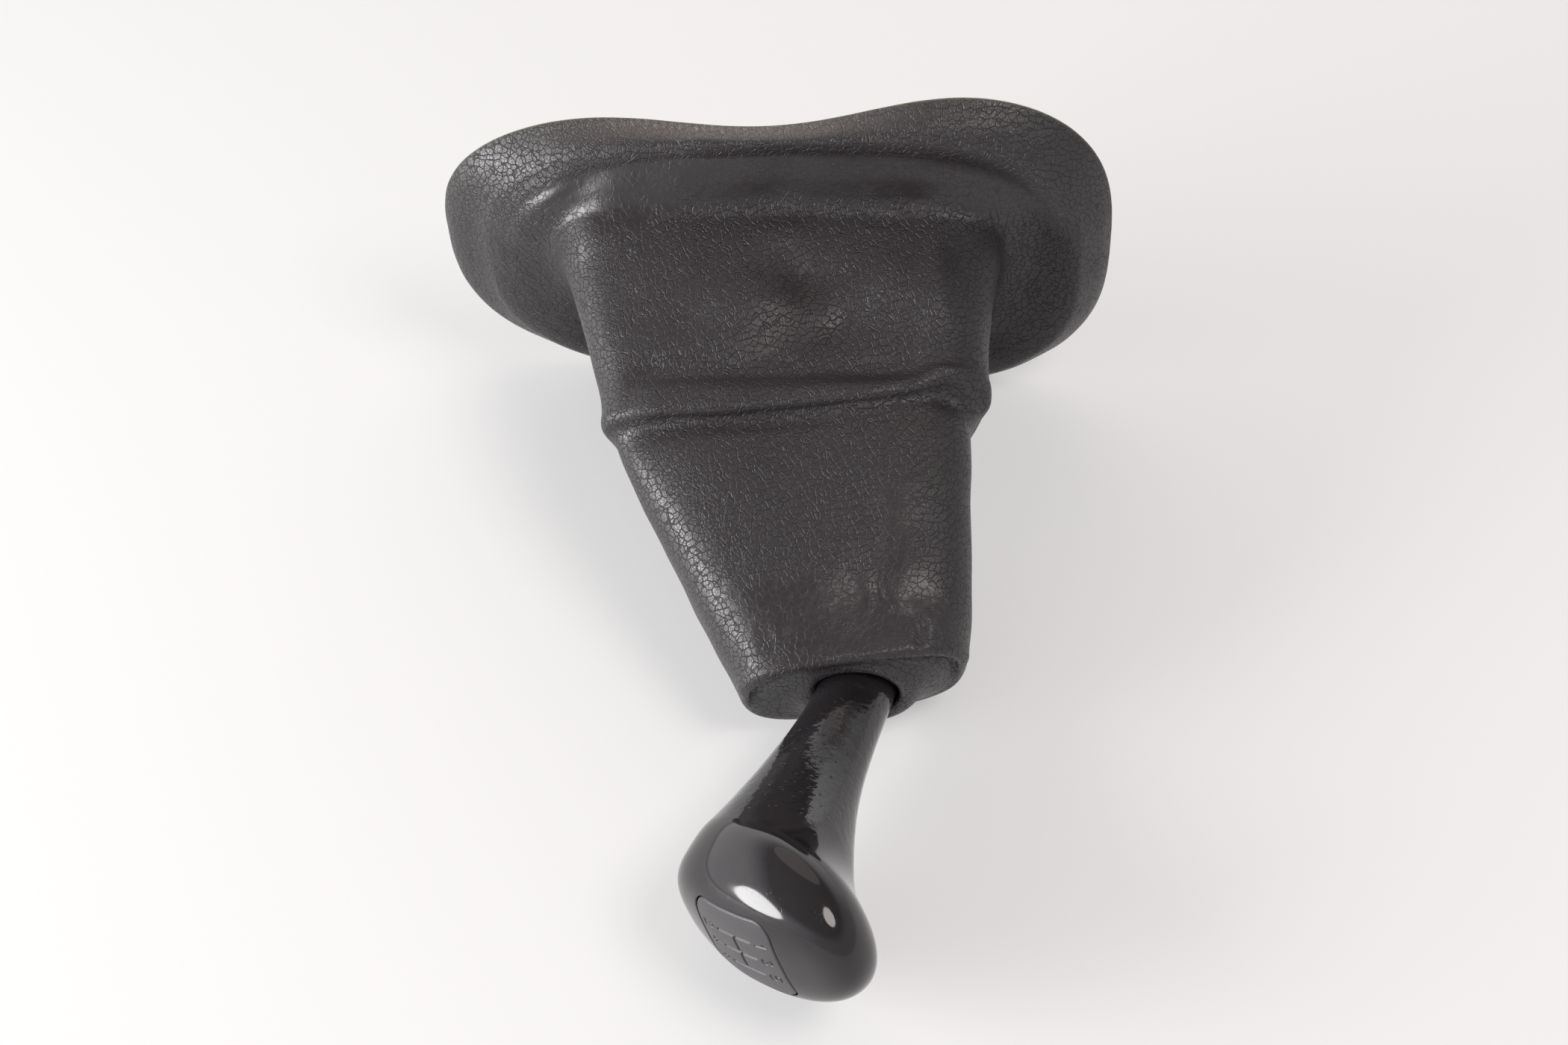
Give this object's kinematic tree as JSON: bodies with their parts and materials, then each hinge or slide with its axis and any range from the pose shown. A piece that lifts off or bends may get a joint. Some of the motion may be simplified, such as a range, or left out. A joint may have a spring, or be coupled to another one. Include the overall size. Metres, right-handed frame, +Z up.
{
  "type": "gear lever gaiter with knob",
  "caption": "Soft moulded gear lever gaiter with a wide curved brim, a folded block and a tapering cone, gripped round the neck of a glossy gear knob with a shift pattern cap.",
  "frame": {"origin": "middle of the bounding box, on the surface that the part lies on", "axes": "+X to the car's front, +Y from the knob back to the brim, +Z up from the surface; the car's left side is uppermost"},
  "size_m": [0.2076, 0.2742, 0.1238],
  "materials": {
    "gaiter_vinyl": "soft moulded vinyl with a fine leather grain, worn smooth near the collar",
    "knob_gloss": "glossy black, faintly rippled and pitted on the neck",
    "cap_matte": "fine matte texture with an engraved shift pattern",
    "sleeve_rubber": "plain matte rubber",
    "clip_plastic": "plain moulded nylon"
  },
  "bodies": {
    "root": {"gaiter": "gaiter_vinyl", "knob": "knob_gloss", "shift_pattern_cap": "cap_matte", "lever_sleeve": "sleeve_rubber", "collar_clip": "clip_plastic"}
  },
  "joints": []
}
